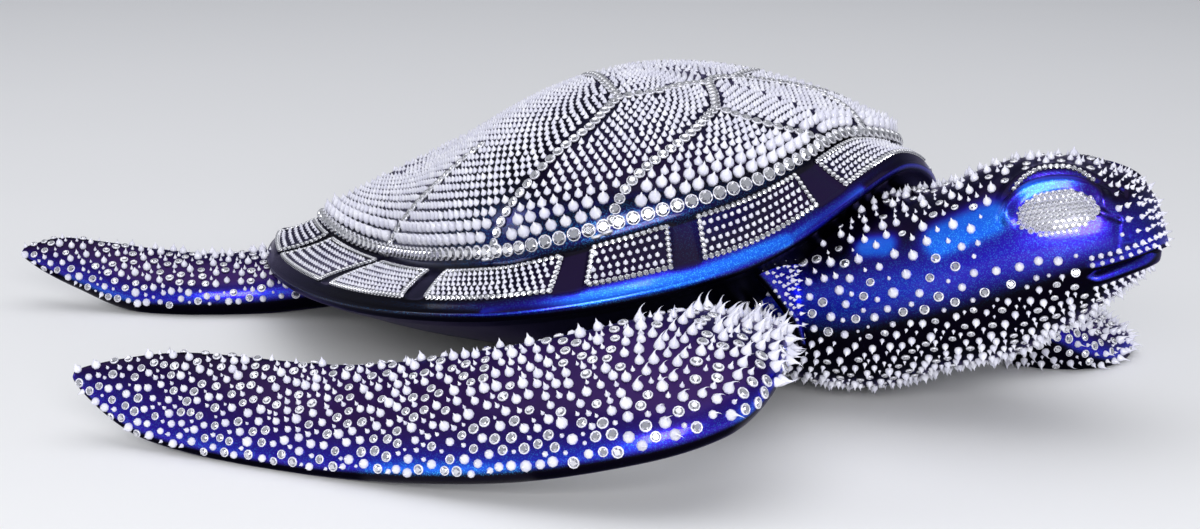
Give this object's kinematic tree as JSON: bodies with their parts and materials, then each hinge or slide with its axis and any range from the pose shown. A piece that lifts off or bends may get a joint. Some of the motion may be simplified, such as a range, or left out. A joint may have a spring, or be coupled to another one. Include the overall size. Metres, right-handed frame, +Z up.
{
  "type": "sea turtle sculpture",
  "caption": "Sea turtle sculpture: glossy casting with domed shell, raised head and swept-back flippers, set with rows of touching crystals; it stands on its own flippers.",
  "frame": {"origin": "on the ground, under the middle of the whole turtle's footprint", "axes": "+X towards the snout, +Y to the turtle's left, +Z up"},
  "size_m": [0.9756, 0.9056, 0.2401],
  "materials": {
    "paint": "violet-blue metal-flake lacquer over a glass-fibre casting, very glossy",
    "crystal": "clear facetted glass with a silver backing"
  },
  "bodies": {
    "root": {"turtle_casting": "paint", "dome_crystal_rows": "crystal", "panel_crystals_front": "crystal", "panel_crystals_right_1": "crystal", "panel_crystals_left_1": "crystal", "panel_crystals_right_2": "crystal", "panel_crystals_left_2": "crystal", "panel_crystals_right_3": "crystal", "panel_crystals_left_3": "crystal", "panel_crystals_right_4": "crystal", "panel_crystals_left_4": "crystal", "panel_crystals_right_5": "crystal", "panel_crystals_left_5": "crystal", "panel_crystals_right_6": "crystal", "panel_crystals_left_6": "crystal", "eye_crystals_right": "crystal", "eye_crystals_left": "crystal", "brow_crystals_right": "crystal", "brow_crystals_left": "crystal"}
  },
  "joints": []
}
